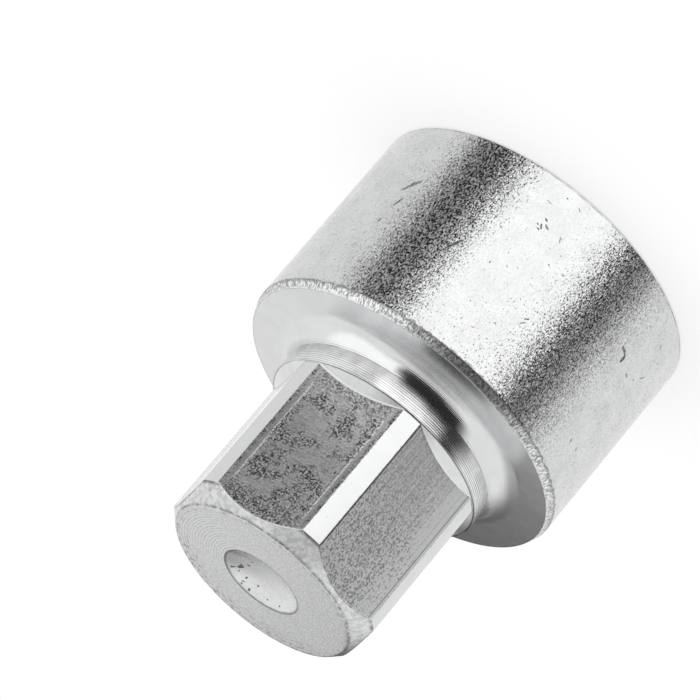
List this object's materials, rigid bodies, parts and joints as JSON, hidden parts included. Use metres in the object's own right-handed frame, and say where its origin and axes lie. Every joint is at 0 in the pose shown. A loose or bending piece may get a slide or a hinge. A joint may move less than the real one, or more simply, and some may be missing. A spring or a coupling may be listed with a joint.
{
  "type": "locking wheel nut key",
  "caption": "Steel key for locking wheel nuts: a hexagon drive shank on a round cup, with a wavy key ring pressed into the bottom of the cup.",
  "frame": {"origin": "centre of the cup's open rim, on the key's axis", "axes": "+Z along the key's axis from the open rim towards the hexagon's free end; +X square to one hexagon flat"},
  "size_m": [0.0283, 0.0282, 0.0353],
  "materials": {
    "zinc_plated_steel": "bright zinc plate, orange-peel on the cup, turned and milled on the shank",
    "dark_hardened_steel": "dark heat-treated skin, rough, with bright worn edges"
  },
  "bodies": {
    "root": {"drive_body": "zinc_plated_steel", "key_insert": "dark_hardened_steel"}
  },
  "joints": []
}
